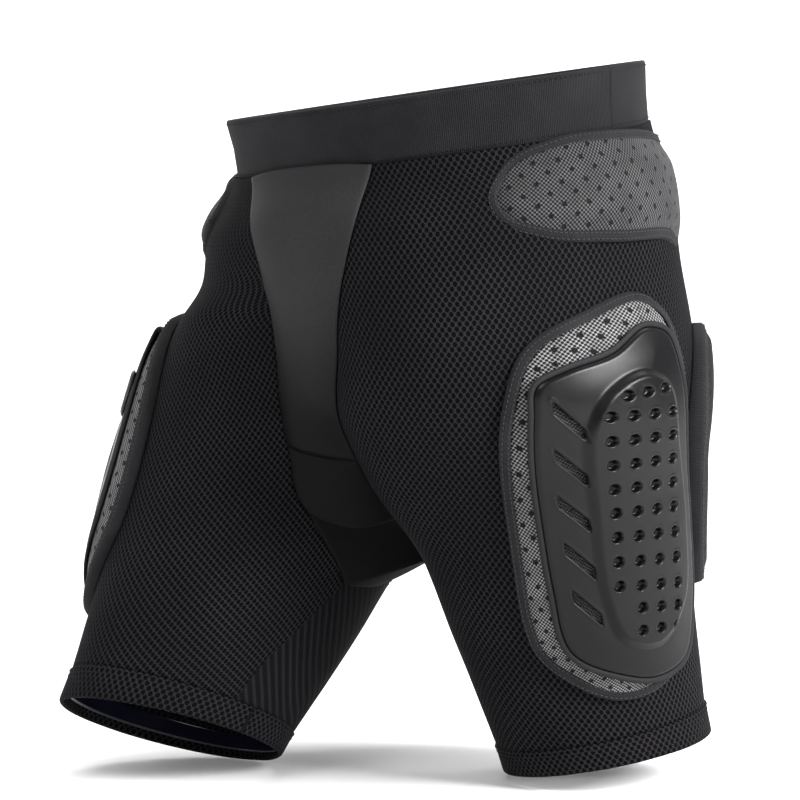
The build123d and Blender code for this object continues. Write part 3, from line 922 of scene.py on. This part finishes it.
# outlines as (degrees round the body from its outer side, millimetres down)
THIGH_PAD = [(0, -42), (10, -32), (18, 0), (21, 40), (22, 100), (19, 160), (9, 200), (-13, 216), (-34, 213),
             (-52, 192), (-63, 168), (-65, 146), (-63, 110), (-57, 60), (-48, 15), (-38, -17), (-20, -33)]
SEAT_PAD = [(42, -14), (60, -8), (82, -7), (102, -2), (113, 30), (113, 90), (104, 128), (86, 156), (62, 169),
            (42, 166), (35, 140), (33, 80), (34, 8)]
SEAT_PAD_FRONT = 35         # degrees; the right pad is narrower behind this edge, and lower
SEAT_PAD_DROP = {1: 0, -1: 34}
SEAT_PAD_WIDTH = {1: 1.0, -1: 0.84}
THIGH_SHELL = [(-2, -22), (6, -18), (12, 10), (15.5, 60), (17.5, 110), (14, 165), (4, 199), (-14, 205),
               (-30, 195), (-48, 170), (-50, 125), (-47, 70), (-41, 22), (-38, 4), (-29, -3), (-15, -9)]
DOME = [(-6, 6), (2, 14), (7, 60), (9, 115), (4, 160), (-12, 180), (-26, 170), (-31, 140), (-30, 85),
        (-25, 32), (-16, 12)]
HIP_PAD = [(-41, 72), (-36, 48), (-22, 37), (0, 38), (24, 44), (44, 52), (55, 76), (57, 104), (51, 127),
           (41, 128), (32, 117), (20, 109), (-8, 107), (-28, 102), (-38, 90)]
TAILBONE_PAD = [(75, 66), (90, 62), (105, 66), (108, 88), (101, 114), (90, 132), (79, 114), (72, 88)]
# the raised right leg pulls its pads forwards, in degrees
THIGH_PAD_TURN = {1: 0, -1: -12}
HIP_PAD_TURN = {1: 0, -1: -8}
BADGE = (-44, -35, 54, 92)  # front and rear edge in degrees, top and bottom
BADGE_RISE = 1.8
PAD_RADIUS = {"trunk": 150.0, "leg": 93.0}      # radius that turns degrees into millimetres across
# heights of each pad's middle and edge above the fabric
COVER_TOP, COVER_EDGE = 8.6, 4.0
HIP_TOP, HIP_EDGE = 9.2, 4.6
SEAT_TOP, SEAT_EDGE = 11.0, 7.0
TAILBONE_TOP = 9.0
HIP_PAD_LIFT = {1: 0.0, -1: 3.0}
SHELL_BASE = 9.6
SHELL_CROWN = 1.2           # extra rise of the shell away from its rim
SHELL_STEP = {1: 0.8, -1: 1.4}      # spacing of the shell's grid
SHELL_THICK = 2.5           # rise of the shell just inside its rim
SHELL_WALL = 1.6
DOME_RISE = 4.2
DIMPLE_RADIUS = 3.35
DIMPLE_DEPTH = 4.4
SLOT_DEPTH = 3.0
SLOT_DROP = 20.5            # how far the slot falls from its front to its rear end
SLOT_OPENING = 8.2
# front upper corner (angle, distance) and width in degrees of each slot in the shell
SLOTS = [((-34.6, 13.0), 7.8), ((-37.4, 40.5), 8.1), ((-40.4, 68.0), 8.6), ((-42.0, 97.5), 8.9),
         ((-42.6, 127.5), 9.1)]
SHELL_SLOTS = {1: SLOTS, -1: SLOTS[:1] + SLOTS[3:]}     # the badge covers two on the right
# the right pad and shell stand further off the raised leg
STAND_OFF = {1: 0.0, -1: 2.6}


def dimple_centres():
    """Angle and distance of each blind hole: three, eight rows of four, then three and three."""
    spots = [(-13.2 + 6.6 * k, 17.5) for k in range(3)]
    for row in range(8):
        share = row / 7
        for k in range(4):
            angle = -19.6 - 6.3 * share + (7.4 + 1.0 * share) * k
            spots.append((angle, 28.3 + 15.0 * row + (2.1 + 2.0 * share) * k))
    spots += [(-18.2 + 8.1 * k, 151.5 + 4.0 * k) for k in range(3)]
    spots += [(-19.4 + 8.0 * k, 166.0 + 3.0 * k) for k in range(3)]
    return spots


def thigh_shell(side, ground, shift):
    """The hard shell: a raised dome with blind holes, slots over a mesh floor, and a rim trim."""
    name = LEGS[side]["name"]
    base = SHELL_BASE + STAND_OFF[side]
    outline = closed_spline(ground.flat(shift(THIGH_SHELL)), 260)
    dome = closed_spline(ground.flat(shift(DOME)), 200)
    holes = np.array(ground.flat(shift(dimple_centres())))
    slots = []
    for (angle, down), width in SHELL_SLOTS[side]:
        low = down + SLOT_DROP
        corners = [(angle, down), (angle, down + SLOT_OPENING), (angle + width, low + SLOT_OPENING),
                   (angle + width, low)]
        slots.append(np.array(ground.flat(shift(corners))))

    def slot_distance(flat):
        return np.max([inside_distance(flat, corners)[0] for corners in slots], axis=0)

    def rise(flat, distance):
        height = base + SHELL_THICK * ease(-0.5, 3.0, distance)
        height = height + SHELL_CROWN * ease(2, 26, distance)
        height = height + DOME_RISE * ease(-3.2, 3.0, inside_distance(flat, dome)[0])
        gap = np.min(np.hypot(flat[..., None, 0] - holes[:, 0], flat[..., None, 1] - holes[:, 1]), -1)
        height = height - DIMPLE_DEPTH * (1 - ease(DIMPLE_RADIUS - 1.0, DIMPLE_RADIUS + 0.15, gap))
        height = height + 0.22 * np.exp(-((gap - DIMPLE_RADIUS - 0.7) / 0.6)**2)
        slot = slot_distance(flat)
        height = height - SLOT_DEPTH * ease(-0.2, 0.75, slot)
        return height + 0.45 * np.exp(-((slot + 0.8) / 0.6)**2)

    def floor(middles):
        return (slot_distance(middles) > 0.45).astype(int)

    inner = offset_line(outline, 0.8)
    shell = patch(name + "_hard_shell", ground, inner, SHELL_STEP[side], rise, floor)
    thicken(shell, SHELL_WALL, SHELL_PLASTIC, SLOT_FLOOR)
    settle(shell, name + "_leg", "shell_plastic", name + "_thigh_shell")
    line, normals = ground.at(outline, np.full(len(outline), base - 0.4))
    _, _, towards = inwards_along(line, normals)
    turns = np.linspace(0, 2 * np.pi, 10, endpoint=False)
    bead = np.stack([(1.9 * np.cos(turns) - 0.4) * towards, 0.9 + 1.2 * np.sin(turns)], -1)
    trim = dress(sweep(name + "_shell_rim", line, normals, bead), TRIM_RUBBER)
    settle(trim, name + "_leg", "trim", name + "_thigh_shell_trim")


def badge(ground, shift, base):
    """A plain raised badge."""
    first, last, top, bottom = BADGE
    middle = (top + bottom) / 2
    corners = [(first, top + 3), (first + 2, top), (last - 2, top), (last, top + 3), (last, middle),
               (last, bottom - 3), (last - 2, bottom), (first + 2, bottom), (first, bottom - 3),
               (first, middle)]
    outline = closed_spline(ground.flat(shift(corners)), 120)
    thing = patch("right_shell_badge", ground, outline, 1.2,
                  lambda flat, distance: base + BADGE_RISE * ease(-0.4, 1.8, distance))
    thicken(thing, 2.0, BADGE_PLASTIC)
    settle(thing, "right_leg", "badge_plastic", "right_thigh_badge")


def mirrored_trunk(*spot):
    points, normals = trunk_surface(*spot)
    mirror = np.array([-1, 1, 1])
    return points * mirror, normals * mirror


def thigh_bridge(flat):
    """The stiff seat pad stays flat where the back of the thigh curves in."""
    return 4.6 * ease(-5, 70, flat[..., 1]) * (1 - ease(95, 165, flat[..., 1]))


def side_pads(side, trunk_ground):
    """Hip, thigh and seat pads of one side, with the hard shell and, on the right, its badge."""
    name = LEGS[side]["name"]
    body = name + "_leg"
    leg_ground = Ground(lambda *spot: side_surface(side, *spot), PAD_RADIUS["leg"])
    lift, stand_off = HIP_PAD_LIFT[side], STAND_OFF[side]

    def shift(outline):
        return [(angle + THIGH_PAD_TURN[side], down) for angle, down in outline]

    hip = [(angle + HIP_PAD_TURN[side], down) for angle, down in HIP_PAD]
    soft_pad(name + "_hip_pad", "hips", trunk_ground, hip, HIP_TOP + lift, HIP_COVER, HIP_EDGE + lift)
    soft_pad(name + "_thigh_pad", body, leg_ground, shift(THIGH_PAD), COVER_TOP + stand_off, THIGH_COVER,
             COVER_EDGE + stand_off)
    thigh_shell(side, leg_ground, shift)
    seat = [(SEAT_PAD_FRONT + (angle - SEAT_PAD_FRONT) * SEAT_PAD_WIDTH[side], down + SEAT_PAD_DROP[side])
            for angle, down in SEAT_PAD]
    soft_pad(name + "_seat_pad", body, leg_ground, seat, SEAT_TOP, SEAT_COVER, SEAT_EDGE, 9.0, thigh_bridge)
    if side < 0:
        badge(leg_ground, shift, SHELL_BASE + stand_off + SHELL_THICK + SHELL_CROWN)


trunk_front = Ground(trunk_surface, PAD_RADIUS["trunk"])
side_pads(1, trunk_front)
side_pads(-1, Ground(mirrored_trunk, PAD_RADIUS["trunk"]))
soft_pad("tailbone_pad", "hips", trunk_front, TAILBONE_PAD, TAILBONE_TOP, SEAT_COVER)


# ---- floor, light and camera
TO_CAMERA = np.array([0.723, -0.691])
ACROSS = np.array([0.691, 0.723])


def studio(right, near, up):
    """A place given as metres right of the object, towards the camera and up."""
    spot = ACROSS * right + TO_CAMERA * near
    return (float(spot[0]), float(spot[1]), up)


def studio_floor():
    """A pale floor that curves up behind the shorts."""
    low, bend, half_width = CAD_BOX[0][2] - MM, 1.5, 6.0
    turns = np.linspace(0.1, np.pi / 2, 14)
    profile = [(-3.0, 0.0), (1.0, 0.0)]
    profile += [(1.0 + bend * math.sin(t), bend - bend * math.cos(t)) for t in turns]
    profile.append((1.0 + bend, 6.0))
    points = [studio(wide, -depth, low + height)
              for depth, height in profile for wide in (-half_width, half_width)]
    floor = make("studio_floor", np.array(points) / MM, grid_faces(len(profile), 2))
    dress(floor, Nodes("pale_floor").finish((0.86, 0.86, 0.86), 0.9, specular=0.1))


def lamp(name, place, size, power, aim=(0.0, 0.0, -0.2)):
    """A rectangular light; places are given as for studio."""
    data = bpy.data.lights.new(name, "AREA")
    data.shape = "RECTANGLE"
    data.size, data.size_y = size
    data.energy = power
    thing = bpy.data.objects.new(name, data)
    bpy.context.scene.collection.objects.link(thing)
    thing.location = studio(*place)
    facing = Vector(studio(*aim)) - Vector(studio(*place))
    thing.rotation_euler = facing.to_track_quat("-Z", "Y").to_euler()


studio_floor()
lamp("key_light", (-0.7, 1.3, 1.3), (0.9, 0.7), 15)
lamp("side_light", (1.3, 0.95, 0.42), (0.75, 0.55), 62)
lamp("top_light", (0.1, -0.3, 1.5), (1.4, 0.9), 14)
lamp("left_light", (-1.5, 0.2, 0.2), (0.5, 1.2), 6)
lamp("back_wash", (0.0, -0.7, 1.9), (2.6, 0.5), 70, aim=(0.0, -2.2, 0.4))

world = bpy.data.worlds.new("studio")
bpy.context.scene.world = world
world.use_nodes = True
background = world.node_tree.nodes["Background"]
background.inputs["Color"].default_value = (1, 1, 1, 1)
background.inputs["Strength"].default_value = 0.42
bpy.context.scene.view_settings.view_transform = "Standard"

CAMERA_DISTANCE = 1.5
CAMERA_SIDE = -0.0195
CAMERA_HEIGHT = -0.204
VIEW_WIDTH = 0.528
SENSOR_WIDTH = 36           # millimetres
data = bpy.data.cameras.new("camera")
data.sensor_width = SENSOR_WIDTH
data.lens = SENSOR_WIDTH * CAMERA_DISTANCE / VIEW_WIDTH
camera = bpy.data.objects.new("camera", data)
bpy.context.scene.collection.objects.link(camera)
camera.location = studio(CAMERA_SIDE, CAMERA_DISTANCE, CAMERA_HEIGHT)
camera.rotation_euler = (math.pi / 2, 0, math.atan2(TO_CAMERA[0], -TO_CAMERA[1]))
bpy.context.scene.camera = camera
